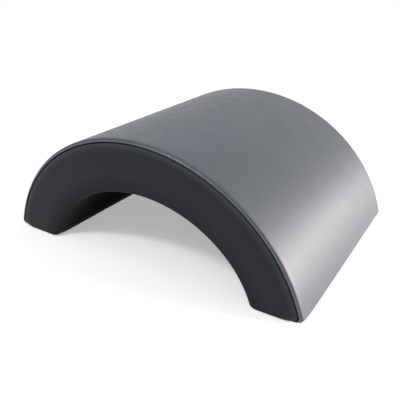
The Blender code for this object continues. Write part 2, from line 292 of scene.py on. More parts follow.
def even_shares(ellipse, outward, floor, radius, toward_body, spacing):
    """Shares that place points evenly along the curve, about this far apart and an even number of steps."""
    dense = np.linspace(0, 1, 2001)
    run, _ = arch_run(ellipse, outward, floor, radius, toward_body, dense)
    length = lengths_along(run[CORNER_STEPS:-CORNER_STEPS])
    steps = 2 * round(length[-1] / spacing / 2)
    return np.interp(np.linspace(0, length[-1], steps + 1), length, dense)


def crowded(count, crowding):
    """Places from -1 to 1 that crowd towards both ends."""
    turn = np.linspace(-1, 1, count)
    return np.sign(turn) * (1 - (1 - np.abs(turn)) ** crowding)


def turned_in(share):
    """How far a quarter-round edge lies back, in radii, at this share of the way over it."""
    return 1 - np.sqrt(1 - (1 - np.clip(share, 0, 1)) ** 2)


def bell(distance, width):
    return np.exp(-((distance / width) ** 2))


def row_at(points, across):
    """(x, z) points as (x, y, z) points at one place across the arch."""
    return np.stack([points[:, 0], np.full(len(points), across), points[:, 1]], axis=1)


def smooth_curve(knots, count):
    """Points spaced evenly along a smooth curve through the knots."""
    knots = np.asarray(knots, float)
    padded = np.vstack([2 * knots[0] - knots[1], knots, 2 * knots[-1] - knots[-2]])
    share = np.linspace(0, 1, 12, endpoint=False)[:, None]
    pieces = []
    for a, b, c, d in zip(padded, padded[1:], padded[2:], padded[3:]):
        bend = 2 * a - 5 * b + 4 * c - d
        twist = 3 * b - a - 3 * c + d
        pieces.append(b + 0.5 * share * ((c - a) + share * (bend + share * twist)))
    curve = np.vstack([*pieces, knots[-1:]])
    length = lengths_along(curve)
    at = np.linspace(0, length[-1], count)
    return np.stack([np.interp(at, length, curve[:, axis]) for axis in range(curve.shape[1])], axis=1)


def cubic_weights(knots, at):
    """A matrix that reads a smooth curve through values at the knots, at other places."""
    weights = np.zeros((len(at), len(knots)))
    for row, place in enumerate(at):
        cell = int(np.clip(np.searchsorted(knots, place) - 1, 0, len(knots) - 2))
        share = (place - knots[cell]) / (knots[cell + 1] - knots[cell])
        share = min(max(share, 0.0), 1.0)
        before, after = max(cell - 1, 0), min(cell + 2, len(knots) - 1)
        weights[row, before] += 0.5 * share * (-1 + share * (2 - share))
        weights[row, cell] += 1 + 0.5 * share**2 * (3 * share - 5)
        weights[row, cell + 1] += 0.5 * share * (1 + share * (4 - 3 * share))
        weights[row, after] += 0.5 * share**2 * (share - 1)
    return weights


def waves(seed, *axes, shortest, longest=0.25, count=7):
    """Gentle unevenness between about -1 and 1 at places given by their coordinates in metres."""
    random = np.random.default_rng(seed)
    total = 0.0
    for _ in range(count):
        length = random.uniform(shortest, longest)
        direction = random.normal(size=len(axes))
        direction /= np.linalg.norm(direction)
        along = sum(part * axis for part, axis in zip(direction, axes))
        total = total + np.sin(2 * math.pi * along / length + random.uniform(0, 2 * math.pi))
    return total / math.sqrt(count)


# Materials


class Nodes:
    """Short calls for a material's node tree."""

    def __init__(self, name):
        self.material = bpy.data.materials.new(name)
        self.material.use_nodes = True
        self.tree = self.material.node_tree
        self.shader = self.tree.nodes["Principled BSDF"]
        self.place = self.add("ShaderNodeTexCoord").outputs["Object"]

    def add(self, kind, **settings):
        node = self.tree.nodes.new(kind)
        for name, value in settings.items():
            setattr(node, name, value)
        return node

    def link(self, source, target):
        self.tree.links.new(source, target)

    def fill(self, node, values):
        for name, value in values.items():
            if isinstance(value, bpy.types.NodeSocket):
                self.link(value, node.inputs[name])
            else:
                node.inputs[name].default_value = value
        return node

    def moved(self, scale):
        """The piece's own coordinates, scaled along each axis."""
        node = self.fill(self.add("ShaderNodeMapping"), {"Vector": self.place, "Scale": scale})
        return node.outputs["Vector"]

    def noise(self, scale, detail=3.0, roughness=0.5, distortion=0.0, vector=None):
        values = {"Scale": scale, "Detail": detail, "Roughness": roughness, "Distortion": distortion}
        node = self.fill(self.add("ShaderNodeTexNoise"), {**values, "Vector": vector or self.place})
        return node.outputs["Fac"]

    def cells(self, scale, feature="F1"):
        node = self.add("ShaderNodeTexVoronoi", feature=feature)
        self.fill(node, {"Scale": scale, "Vector": self.place})
        return node.outputs["Distance"]

    def maths(self, operation, first, second):
        node = self.add("ShaderNodeMath", operation=operation)
        self.fill(node, {0: first, 1: second})
        return node.outputs["Value"]

    def ranged(self, value, low, high, to_low, to_high):
        node = self.add("ShaderNodeMapRange")
        limits = {"From Min": low, "From Max": high, "To Min": to_low, "To Max": to_high}
        self.fill(node, {**limits, "Value": value})
        return node.outputs["Result"]

    def mixed(self, share, first, second):
        """A colour between two others."""
        node = self.add("ShaderNodeMix", data_type="RGBA")
        for socket, value in ((node.inputs[0], share), (node.inputs[6], first), (node.inputs[7], second)):
            if isinstance(value, bpy.types.NodeSocket):
                self.link(value, socket)
            else:
                socket.default_value = value if isinstance(value, float) else (*value[:3], 1.0)
        return node.outputs[2]

    def attribute(self, name):
        return self.add("ShaderNodeAttribute", attribute_name=name).outputs["Fac"]

    def bumps(self, *layers):
        """Layers of (height, strength, distance), the first lowest."""
        normal = None
        for height, strength, distance in layers:
            node = self.fill(self.add("ShaderNodeBump"), {"Height": height, "Strength": strength})
            node.inputs["Distance"].default_value = distance
            if normal:
                self.link(normal, node.inputs["Normal"])
            normal = node.outputs["Normal"]
        self.link(normal, self.shader.inputs["Normal"])

    def finish(self, **values):
        """Values straight onto the shader, by socket name with _ for each space."""
        self.fill(self.shader, {name.replace("_", " "): value for name, value in values.items()})
        return self.material


def tinted(colour, factor):
    return tuple(min(part * factor, 1.0) for part in colour)


def vinyl(name, colour, roughness, grain, gloss, painted_light_gain):
    """Coated fabric with a fine leather grain. One attribute paints shade into its grooves and deep places,
    darker and rougher, and another paints highlights onto its edges, lighter and a little smoother.
    """
    nodes = Nodes(name)
    warp = nodes.noise(160.0, detail=2.0)
    pebbles = nodes.cells(820.0)
    creases = nodes.cells(330.0, feature="DISTANCE_TO_EDGE")
    fine = nodes.noise(2600.0, detail=2.0)
    cloud = nodes.noise(7.0, detail=4.0, roughness=0.55)
    patches = nodes.noise(38.0, detail=3.0)
    seam = nodes.attribute("seam")
    worn = nodes.attribute("worn")
    shade = nodes.mixed(nodes.ranged(cloud, 0.3, 0.7, 0.0, 1.0), tinted(colour, 0.90), tinted(colour, 1.10))
    pits = nodes.ranged(pebbles, 0.0, 0.75, 0.0, 1.0)
    shade = nodes.mixed(nodes.maths("MULTIPLY", pits, 0.22), shade, tinted(colour, 0.45))
    # Painted shade: the seam attribute darkens the colour in grooves, beside the stitches, in creases and
    # deep in the tunnel.
    shade = nodes.mixed(nodes.maths("MULTIPLY", seam, 0.75), shade, tinted(colour, 0.22))
    # Painted highlight: the second attribute lightens the colour on the lip's crest, the side covers' rims
    # and the lining's hem.
    shade = nodes.mixed(nodes.maths("MULTIPLY", worn, 0.35), shade, tinted(colour, painted_light_gain))
    rough = nodes.ranged(patches, 0.3, 0.7, roughness - 0.03, roughness + 0.03)
    rough = nodes.maths("ADD", rough, nodes.maths("MULTIPLY", seam, 0.45))
    rough = nodes.maths("SUBTRACT", rough, nodes.maths("MULTIPLY", worn, 0.05))
    nodes.bumps(
        (warp, 0.10 * grain, 0.0006),
        (nodes.ranged(creases, 0.0, 0.25, 0.0, 1.0), 0.30 * grain, 0.00012),
        (pebbles, 0.45 * grain, 0.00016),
        (fine, 0.25 * grain, 0.00004),
    )
    return nodes.finish(Base_Color=shade, Roughness=rough, IOR=gloss)


def thread_material():
    nodes = Nodes("thread")
    fibres = nodes.noise(3000.0, detail=2.0, vector=nodes.moved((1.0, 3.0, 1.0)))
    shade = nodes.mixed(fibres, (0.002, 0.002, 0.003), (0.008, 0.008, 0.009))
    nodes.bumps((fibres, 0.6, 0.0001))
    return nodes.finish(Base_Color=shade, Roughness=0.4, Specular_IOR_Level=0.7)


def foam_material():
    nodes = Nodes("foam")
    holes = nodes.cells(650.0)
    cloud = nodes.noise(30.0)
    shade = nodes.mixed(cloud, (0.58, 0.56, 0.47), (0.66, 0.64, 0.57))
    shade = nodes.mixed(nodes.ranged(holes, 0.0, 0.5, 0.5, 0.0), shade, (0.35, 0.33, 0.26))
    nodes.bumps((holes, 0.7, 0.0004), (nodes.noise(1500.0), 0.3, 0.0001))
    return nodes.finish(Base_Color=shade, Roughness=0.95)


def wood_material(name, pale, dark, along, layers=0.0):
    """Wood whose grain runs along one axis. Layers is the thickness of its plies, if it has any."""
    nodes = Nodes(name)
    stretch = [90.0, 90.0, 90.0]
    stretch["xyz".index(along)] = 5.0
    grain = nodes.noise(1.0, detail=6.0, roughness=0.65, distortion=1.2, vector=nodes.moved(tuple(stretch)))
    pores = nodes.noise(9.0, detail=2.0, vector=nodes.moved(tuple(stretch)))
    shade = nodes.mixed(nodes.ranged(grain, 0.35, 0.65, 0.0, 1.0), pale, dark)
    if layers:
        bands = nodes.add("ShaderNodeTexWave", wave_type="BANDS", bands_direction="Y")
        nodes.fill(bands, {"Vector": nodes.place, "Scale": 0.5 / layers, "Distortion": 0.4})
        shade = nodes.mixed(nodes.maths("MULTIPLY", bands.outputs["Fac"], 0.4), shade, dark)
    nodes.bumps((pores, 0.35, 0.0002), (grain, 0.2, 0.0003))
    return nodes.finish(Base_Color=shade, Roughness=nodes.ranged(pores, 0.3, 0.7, 0.55, 0.75))


def rubber_material():
    nodes = Nodes("rubber")
    dust = nodes.noise(60.0, detail=4.0)
    shade = nodes.mixed(dust, (0.016, 0.016, 0.017), (0.030, 0.030, 0.030))
    nodes.bumps((nodes.noise(1800.0), 0.4, 0.0001))
    return nodes.finish(Base_Color=shade, Roughness=0.85)


def steel_material():
    nodes = Nodes("zinc_steel")
    turning = nodes.noise(1500.0, vector=nodes.moved((1.0, 1.0, 6.0)))
    shade = nodes.mixed(nodes.noise(400.0), (0.55, 0.55, 0.52), (0.68, 0.68, 0.66))
    nodes.bumps((turning, 0.25, 0.00005))
    rough = nodes.ranged(turning, 0.3, 0.7, 0.28, 0.45)
    return nodes.finish(Base_Color=shade, Roughness=rough, Metallic=1.0)


MATERIALS = {
    # One vinyl covers the top and the sides: the top's colour is written more than twice as light and bluer
    # than the sides', as painted light for the top lit from above and the upright sides in shade.
    "vinyl_top": vinyl("vinyl_top", (0.0485, 0.0605, 0.0702), 0.42, 1.0, 1.58, painted_light_gain=2.4),
    "vinyl_side": vinyl("vinyl_side", (0.0210, 0.0245, 0.0270), 0.55, 0.8, 1.24, painted_light_gain=5.5),
    # The tunnel's lining is the side covers' vinyl too. This copy of it is written lighter and less glossy,
    # and painted shade darkens it inwards, so its colour stands in for the tunnel's light and shade.
    "vinyl_lining_painted_shade": vinyl("vinyl_lining_painted_shade", (0.0560, 0.0620, 0.0635), 0.70, 0.8, 1.08, painted_light_gain=2.0),
    "thread": thread_material(),
    "foam": foam_material(),
    "plywood": wood_material("plywood", (0.66, 0.48, 0.29), (0.50, 0.33, 0.17), "x", layers=0.0015),
    "pine": wood_material("pine", (0.74, 0.57, 0.35), (0.58, 0.39, 0.20), "y"),
    "rubber": rubber_material(),
    "zinc_steel": steel_material(),
}


# Mesh helpers


def add_piece(name, mesh, slot, *stands_for, finish=None):
    """An object that rides on the arch's body and takes the place of these CAD nodes."""
    mesh.materials.append(MATERIALS[finish or slot])
    mesh.shade_smooth()
    piece = bpy.data.objects.new(name, mesh)
    bpy.context.scene.collection.objects.link(piece)
    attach(piece, "root")
    if stands_for:
        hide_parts(*stands_for)
    return piece


def loft_mesh(name, rows, **attributes):
    """A closed solid through a ring of rows of points, with its two ends filled.

    Each attribute is a number for every point, in the same arrangement.
    """
    count, length = len(rows), len(rows[0])
    index = np.arange(count * length).reshape(count, length)
    following = np.roll(index, -1, axis=0)
    quads = np.stack([index[:, :-1], following[:, :-1], following[:, 1:], index[:, 1:]], axis=-1)
    faces = quads.reshape(-1, 4).tolist()
    faces.append(index[::-1, 0].tolist())
    faces.append(index[:, -1].tolist())
    mesh = bpy.data.meshes.new(name)
    mesh.from_pydata(np.asarray(rows).reshape(-1, 3).tolist(), [], faces)
    for attribute, values in attributes.items():
        layer = mesh.attributes.new(attribute, "FLOAT", "POINT")
        layer.data.foreach_set("value", np.asarray(values, np.float32).reshape(-1))
    return mesh


def rest_under_pressure(points):
    """Where a sheet of cloth comes to rest when it is held along its border and pushed out.

    points is a grid of places, and the result has the same arrangement.
    """
    rows, columns = points.shape[:2]
    index = np.arange(rows * columns).reshape(rows, columns)
    border = np.concatenate([index[0], index[-1], index[1:-1, 0], index[1:-1, -1]])
    faces = np.stack([index[:-1, :-1], index[1:, :-1], index[1:, 1:], index[:-1, 1:]], axis=-1)
    mesh = bpy.data.meshes.new("cloth")
    mesh.from_pydata(points.reshape(-1, 3).tolist(), [], faces.reshape(-1, 4).tolist())
    sheet = bpy.data.objects.new("cloth", mesh)
    bpy.context.scene.collection.objects.link(sheet)
    sheet.vertex_groups.new(name="pinned").add(border.tolist(), 1.0, "REPLACE")
    cloth = sheet.modifiers.new("cloth", "CLOTH")
    cloth.settings.quality = 5
    cloth.settings.vertex_group_mass = "pinned"
    cloth.settings.use_pressure = True
    cloth.settings.uniform_pressure_force = CLOTH_PRESSURE
    cloth.settings.effector_weights.gravity = 0.0
    for number in range(1, CLOTH_FRAMES + 1):
        bpy.context.scene.frame_set(number)
    evaluated = sheet.evaluated_get(bpy.context.evaluated_depsgraph_get())
    rested = np.empty(rows * columns * 3)
    evaluated.data.vertices.foreach_get("co", rested)
    bpy.data.objects.remove(sheet)
    bpy.data.meshes.remove(mesh)
    bpy.context.scene.frame_set(1)
    return rested.reshape(points.shape)


# The top cover


def fullness(inset):
    """How far round the edge an inset is: 0 at the seam and 1 on the crown."""
    return np.clip(1 - inset / SEAM_INSET, 0, 1)


def cover_run(inset, shares, across, depth=0.0):
    """A row of the top cover at this inset and place across, or this deep under its face."""
    foot_radius = FOOT_RADIUS + FRONT_CORNER * math.exp(-(across + SIDE) / FRONT_CORNER_REACH)
    radius = SEAM_RADIUS + (foot_radius - SEAM_RADIUS) * fullness(inset) - depth
    corner = arch_run(OUTER, 0.0, COVER_FLOOR, FOOT_RADIUS, -1, np.array([0.0, 1.0]))[0][0, 0]
    ends = (corner - TOP_FLANGE, TOP_FLANGE - corner)
    return arch_run(OUTER, -inset - depth, COVER_FLOOR + depth, radius, -1, shares, ends)


def settled(points, normals, across, deep):
    """A row where it settles: the lip lower over the left foot, and the feet's front corners pulled up."""
    over_lip = np.clip((LIP_LOWEST - deep) / LIP_FADE, 0, 1)
    near_lip = math.exp(-max(SIDE - abs(across) - LIP_IN, 0) / LIP_REACH)
    over_left = np.clip((np.linspace(0, 1, len(points)) - LEFT_SINK_FROM) / LEFT_SINK_FADE, 0, 1)
    points = points - normals * (LEFT_SINK * over_lip * near_lip * over_left)[:, None]
    points[:, 1] += corner_lift(points[:, 1], across + SIDE)
    return points


def corner_lift(height, from_front):
    """How far the vinyl is pulled up at the front corner of a foot."""
    low = np.clip(1 - (height - COVER_FLOOR) / CORNER_LIFT_HEIGHT, 0, 1)
    return CORNER_LIFT * np.exp(-from_front / CORNER_LIFT_REACH) * low**2


BAND_SHARES = even_shares(OUTER, -STITCH_DEPTH, COVER_FLOOR, FOOT_RADIUS, -1, STITCH_PITCH / 2)
BEFORE_OVER = FLANGE_STEPS + CORNER_STEPS
VALLEY_LENGTHS = lengths_along(cover_run(STITCH_DEPTH, BAND_SHARES, 0.0)[0])
# The pitch that fits a whole number of stitches between the feet
STITCH_PITCH_REAL = 2 * (VALLEY_LENGTHS[-1] - 2 * VALLEY_LENGTHS[BEFORE_OVER]) / (len(BAND_SHARES) - 1)
LIP = smooth_curve(LIP_PROFILE, LIP_STEPS) / 1000
CROWN_HALF = SIDE - LIP[-1, 0]


def crown_lift(shares, across):
    """How far the foam pushes the top cover out, for shares along the arch and distances across it."""
    knots = np.linspace(0, 1, CLOTH_ROWS)
    columns = CROWN_HALF * crowded(CLOTH_COLUMNS, CLOTH_CROWDING)
    start, normals = arch_run(OUTER, -CROWN, COVER_FLOOR, FOOT_RADIUS, -1, knots)
    start, normals = (part[CORNER_STEPS:-CORNER_STEPS] for part in (start, normals))
    points = np.empty((len(knots), len(columns), 3))
    points[..., 0], points[..., 2] = start[:, None, 0], start[:, None, 1]
    points[..., 1] = columns
    moved = rest_under_pressure(points) - points
    raw = moved[..., 0] * normals[:, None, 0] + moved[..., 2] * normals[:, None, 1]
    lift = CROWN * np.tanh(np.maximum(raw, 0.0) / CROWN)
    return cubic_weights(knots, shares) @ lift @ cubic_weights(columns, across).T


def crown_streaks(y):
    """Soft streaks along the arch, which fade out before the edges."""
    from_edge = np.clip((SIDE - np.abs(y) - STREAK_MARGIN) / STREAK_FADE, 0, 1)
    along = VALLEY_LENGTHS[:, None] / STREAK_STRETCH
    return STREAK * from_edge * waves(5, along, y[None, :], count=12, **FINE_WAVES)


def needle_holes():
    """1 at each needle hole along the valley, and negative between them."""
    holes = np.zeros(2 * BEFORE_OVER + len(BAND_SHARES))
    holes[BEFORE_OVER:-BEFORE_OVER:2] = 1.0
    holes[BEFORE_OVER + 1:-BEFORE_OVER:2] = -0.5
    return holes


def make_top_cover():
    """The vinyl band: a rolled lip beside each seam, a stitched valley, and a crown that the foam fills."""
    crown_y = CROWN_HALF * crowded(CROWN_COLUMNS + 2, CROWN_CROWDING)[1:-1]
    lip_y = -SIDE + LIP[:, 0]
    y = np.concatenate([lip_y, crown_y, -lip_y[::-1]])
    inset = np.concatenate([LIP[:, 1], np.full(len(crown_y), CROWN), LIP[::-1, 1]])
    holes = needle_holes()
    lift = np.zeros((len(holes), len(y)))
    lift[BEFORE_OVER:-BEFORE_OVER] = crown_lift(BAND_SHARES, y)
    lift += crown_streaks(y)
    rows, seam, worn = [], [], []
    for column, (across, deep) in enumerate(zip(y, inset)):
        points, normals = cover_run(deep, BAND_SHARES, across)
        from_side = SIDE - abs(across)
        uneven = EDGE_UNEVEN * waves(3 if across < 0 else 4, lengths_along(points), **FINE_WAVES)
        out = lift[:, column] + uneven * math.exp(-from_side / EDGE_UNEVEN_REACH)
        out = out - PUCKER * holes * bell(from_side - STITCH_IN, PUCKER_WIDTH)
        rows.append(row_at(settled(points + normals * out[:, None], normals, across, deep), across))
        # Painted shade in the seam groove.
        groove = np.clip((deep - GROOVE_FROM) / GROOVE_FADE, 0, 1)
        # Painted shade beside the stitches, fading towards the crown; it also makes the vinyl rougher there.
        stitch_shade = STITCH_SHADE * max(1 - (from_side - STITCH_IN) / STITCH_SHADE_REACH, 0) * (from_side > STITCH_IN)
        seam.append(np.full(len(points), max(groove, stitch_shade)))
        # A painted highlight along the lip's crest.
        worn.append(np.full(len(points), LIP_HIGHLIGHT * bell(deep - LIP_CREST, LIP_CREST_WIDTH)))
    for across in np.linspace(SIDE - INNER_START, INNER_START - SIDE, 10):
        inset = INNER_EDGE_DEPTH if SIDE - abs(across) < INNER_EDGE else INNER_DEPTH
        rows.append(row_at(cover_run(inset, BAND_SHARES, across, VINYL)[0], across))
        seam.append(np.zeros(len(holes)))
        worn.append(np.zeros(len(holes)))
    mesh = loft_mesh("cover_top_vinyl", rows, seam=seam, worn=worn)
    piece = add_piece("cover_top_vinyl", mesh, "vinyl_top", "cover_top")


def make_stitches(name, front_or_back, node):
    """One thread's stitches: each rises from a needle hole, lies in the valley and goes down again."""
    across = front_or_back * (SIDE - STITCH_IN)
    points, normals = cover_run(STITCH_DEPTH, BAND_SHARES, across)
    points = settled(points, normals, across, STITCH_DEPTH)
    length = lengths_along(points)
    first = length[BEFORE_OVER]
    count = round((length[-1] - 2 * first) / STITCH_PITCH_REAL)
    numbers = np.arange(-STITCHES_ROUND_CORNER, count + STITCHES_ROUND_CORNER)
    random = np.random.default_rng(11 if front_or_back < 0 else 12)
    share = np.linspace(0, 1, STITCH_STEPS)
    rise = np.sin(math.pi * share) ** 0.55
    height = -THREAD_SUNK + (THREAD_SUNK + THREAD * 0.8) * rise
    thick = THREAD * (0.75 + 0.25 * rise)
    around = np.linspace(0, 2 * math.pi, STITCH_SIDES, endpoint=False)
    vertices, faces = [], []
    for number in numbers:
        reach = STITCH_LENGTH * random.uniform(0.96, 1.03)
        slant = STITCH_SLANT * random.uniform(0.7, 1.3)
        at = first + STITCH_PITCH_REAL * (number + 0.5) + reach * (share - 0.5)
        place = np.stack([np.interp(at, length, points[:, axis]) for axis in (0, 1)], axis=1)
        up = np.stack([np.interp(at, length, normals[:, axis]) for axis in (0, 1)], axis=1)
        up = row_at(up / np.linalg.norm(up, axis=1, keepdims=True), 0.0)
        centre = row_at(place, across) + up * height[:, None]
        centre[:, 1] += slant * (share - 0.5)
        ring = 0.85 * np.sin(around)[None, :, None] * up[:, None]
        ring[..., 1] += np.cos(around)
        base = len(vertices) * STITCH_STEPS * STITCH_SIDES
        vertices.append(centre[:, None] + thick[:, None, None] * ring)
        index = base + np.arange(STITCH_STEPS * STITCH_SIDES).reshape(STITCH_STEPS, STITCH_SIDES)
        beside = np.roll(index, -1, axis=1)
        faces += np.stack([index[:-1], beside[:-1], beside[1:], index[1:]], axis=-1).reshape(-1, 4).tolist()
        faces += [index[0, ::-1].tolist(), index[-1].tolist()]
    mesh = bpy.data.meshes.new(name)
    mesh.from_pydata(np.concatenate(vertices).reshape(-1, 3).tolist(), [], faces)
    form = bmesh.new()
    form.from_mesh(mesh)
    bmesh.ops.recalc_face_normals(form, faces=form.faces)
    form.to_mesh(mesh)
    form.free()
    add_piece(name, mesh, "thread", node)


# The side covers


def mouth_radius(inset):
    """The radius of the corner at the bottom of the tunnel's mouth, this far in from the tunnel."""
    return TUNNEL_RADIUS - 0.4 * inset


def panel_bounds(shares):
    """A side cover's edges at the seam and by the tunnel, from the right foot to the left one."""
    over = arch_run(OUTER, -SEAM_INSET, COVER_FLOOR, SEAM_RADIUS, -1, shares)[0]
    under = arch_run(TUNNEL, TUNNEL_ROUND, COVER_FLOOR, mouth_radius(TUNNEL_ROUND), 1, shares)[0]
    return over, under


def distance_to(outline, points, closed=True):
    """From each point to the nearest place on an outline."""
    nearest = np.full(points.shape[:-1], np.inf)
    ends = np.roll(outline, -1, axis=0) if closed else outline[1:]
    for start, end in zip(outline, ends):
        step = end - start
        size = step @ step
        if size == 0:
            continue
        share = np.clip((points - start) @ step / size, 0, 1)
        nearest = np.minimum(nearest, np.linalg.norm(points - start - share[..., None] * step, axis=-1))
    return nearest


def panel_grid(shares, across):
    """(x, z) of a side cover's points, by station along the arch and share across it."""
    over, under = panel_bounds(shares)
    return over[:, None] + (under - over)[:, None] * across[None, :, None]


def panel_lift(stations, across):
    """How far the foam pushes a side cover out."""
    knots = np.linspace(0, 1, CLOTH_ROWS)
    coarse = 0.5 - 0.5 * np.cos(math.pi * np.linspace(0, 1, CLOTH_PANEL_COLUMNS))
    grid = panel_grid(knots, coarse)
    points = np.stack([grid[..., 0], np.zeros(grid.shape[:2]), grid[..., 1]], axis=-1)
    raw = np.abs(rest_under_pressure(points)[..., 1])
    lift = PANEL_CROWN * np.tanh(raw / PANEL_CROWN)
    places = np.linspace(0, 1, len(grid))
    return cubic_weights(places, stations) @ lift @ cubic_weights(coarse, across).T


def curl_columns(shares, front_or_back, depth):
    """The part of a side cover that curls into the tunnel, this deep under its face, with its normals.

    The last columns run straight along the tunnel to the seam.
    """
    turns = np.linspace(0, math.pi / 2, CURL_STEPS + 1)[1:]
    straight = TUNNEL_SEAM - TUNNEL_ROUND
    stations = [(turn, 0.0) for turn in turns] + [(math.pi / 2, straight * part) for part in (0.4, 0.7, 1.0)]
    points, normals = [], []
    for turn, further in stations:
        inset = TUNNEL_ROUND - (TUNNEL_ROUND - depth) * math.sin(turn)
        from_side = TUNNEL_ROUND - (TUNNEL_ROUND - depth) * math.cos(turn) + further
        run, outward = arch_run(TUNNEL, inset, COVER_FLOOR, mouth_radius(inset), 1, shares)
        points.append(row_at(run, front_or_back * (SIDE - from_side)))
        normals.append(row_at(outward * math.sin(turn), front_or_back * math.cos(turn)))
    return np.stack(points, axis=1), np.stack(normals, axis=1)


def with_hems(face, back, front_or_back):
    """The two faces of a side cover with hems at both ends, drawn together under the feet."""
    hems = []
    for end in (0, -1):
        under = face[end].copy()
        middle = (under[0, 0] + under[-1, 0]) / 2
        under[:, 0] = middle + (under[:, 0] - middle) * HEM_SHARE
        under[:, 1] = front_or_back * (SIDE - HEM_IN)
        hems.append((under, face[end] * 0.7 + under * 0.3))
    right_hem, left_hem = np.stack(hems[0]), np.stack(hems[1][::-1])
    rise = np.array((0.0, 0.0, VINYL))
    face = np.concatenate([right_hem, face, left_hem])
    return face, np.concatenate([right_hem + rise, back, left_hem + rise])


def side_cover_relief(grid, across, to_seam, to_tunnel, front_or_back):
    """How far a side cover's flat part stands out: crowned by its foam, and turned in at its seam."""
    lift = panel_lift(np.linspace(0, 1, len(grid)), across)
    lift *= 1 - (1 - np.clip(to_tunnel / PANEL_CROWN_EDGE, 0, 1)) ** 2
    far = np.clip(np.minimum(to_seam, to_tunnel) / PANEL_UNEVEN_FADE, 0, 1)
    uneven = waves(21 if front_or_back < 0 else 22, grid[..., 0], grid[..., 1], shortest=0.05)
    inward = SHOULDER_DROP * turned_in(to_seam / SHOULDER)
    inward += SLOT_DEPTH * np.clip(1 - to_seam / SLOT, 0, 1) ** 2
    return lift - inward - PANEL_UNEVEN * uneven * far


def side_cover_marks(count, columns, to_seam, to_tunnel):
    """The painted shade and painted highlight values of a side cover's rows, of which the first columns are
    its face.
    """
    stations, flat = to_seam.shape
    seam = np.zeros((count, stations + 4))
    worn = np.zeros_like(seam)
    # Painted shade on the hems under the feet.
    seam[:, :2] = seam[:, -2:] = 1.0
    # Painted shade in the slot at the seam.
    seam[:flat, 2:-2] = np.clip(1.4 - to_seam / SLOT, 0, 1).T
    # Painted shade towards the tunnel, on the curl into it and in the seam groove at its end.
    seam[:flat, 2:-2] += 0.35 * np.clip(1 - to_tunnel / TUNNEL_SHADE, 0, 1).T
    seam[flat:columns - 3, 2:-2] = 0.40
    seam[columns - 3:columns, 2:-2] = np.array((0.6, FULL_SHADE, FULL_SHADE))[:, None]
    # A painted highlight on the rim by the seam.
    worn[:flat, 2:-2] = (np.clip(1 - to_seam / RIM_HIGHLIGHT, 0, 1) ** 2 * np.clip(to_seam / 0.0008, 0, 1)).T
    return seam, worn


def make_side_cover(name, front_or_back, node):
    """A flat vinyl arch, rolled in at its seam and its feet, that curls into the tunnel to its other seam."""
    shares = even_shares(OUTER, -SEAM_INSET, COVER_FLOOR, SEAM_RADIUS, -1, ALONG_STEP)
    edge = np.array((0.0, 0.0004, 0.0009, 0.0015, 0.0024, 0.0038, 0.0056, 0.0080, 0.0110, 0.0150))
    edge /= PANEL_WIDTH
    across = np.concatenate([edge, np.linspace(edge[-1], 1, PANEL_COLUMNS - 8)[1:]])
    grid = panel_grid(shares, across)
    to_seam = distance_to(grid[:, 0], grid, closed=False)
    to_tunnel = distance_to(grid[:, -1], grid, closed=False)
    flat = np.stack([grid[..., 0], np.full(grid.shape[:2], front_or_back * SIDE), grid[..., 1]], axis=-1)
    facing = np.zeros_like(flat)
    facing[..., 1] = front_or_back
    curl, curl_normals = curl_columns(shares, front_or_back, 0.0)
    groove = TUNNEL_GROOVE * np.array([0.0] * CURL_STEPS + [0.12, 0.4, 1.0])
    base = np.concatenate([flat, curl], axis=1)
    normals = np.concatenate([facing, curl_normals], axis=1)
    relief = side_cover_relief(grid, across, to_seam, to_tunnel, front_or_back)
    out = np.concatenate([relief, np.tile(-groove, (len(grid), 1))], axis=1)
    out -= GROOVE * turned_in((base[..., 2] - COVER_FLOOR) / ROLL)
    face = base + normals * out[..., None]
    if front_or_back < 0:
        face[:, :len(across), 2] += corner_lift(face[:, :len(across), 2], to_seam + 0.004)
    back_curl, _ = curl_columns(shares, front_or_back, VINYL)
    back = np.concatenate([flat, back_curl], axis=1) + normals * out[..., None]
    back[:, :len(across), 1] -= front_or_back * VINYL
    back[..., 2] = np.maximum(back[..., 2], COVER_FLOOR)
    face, back = with_hems(face, back, front_or_back)
    columns = face.shape[1]
    rows = [face[:, column] for column in range(columns)]
    rows += [back[:, column] for column in range(columns - 1, -1, -3)]
    seam, worn = side_cover_marks(len(rows), columns, to_seam, to_tunnel)
    if front_or_back < 0:
        rows, seam, worn = rows[::-1], seam[::-1], worn[::-1]
    piece = add_piece(name, loft_mesh(name, rows, seam=seam, worn=worn), "vinyl_side", node)


# The tunnel


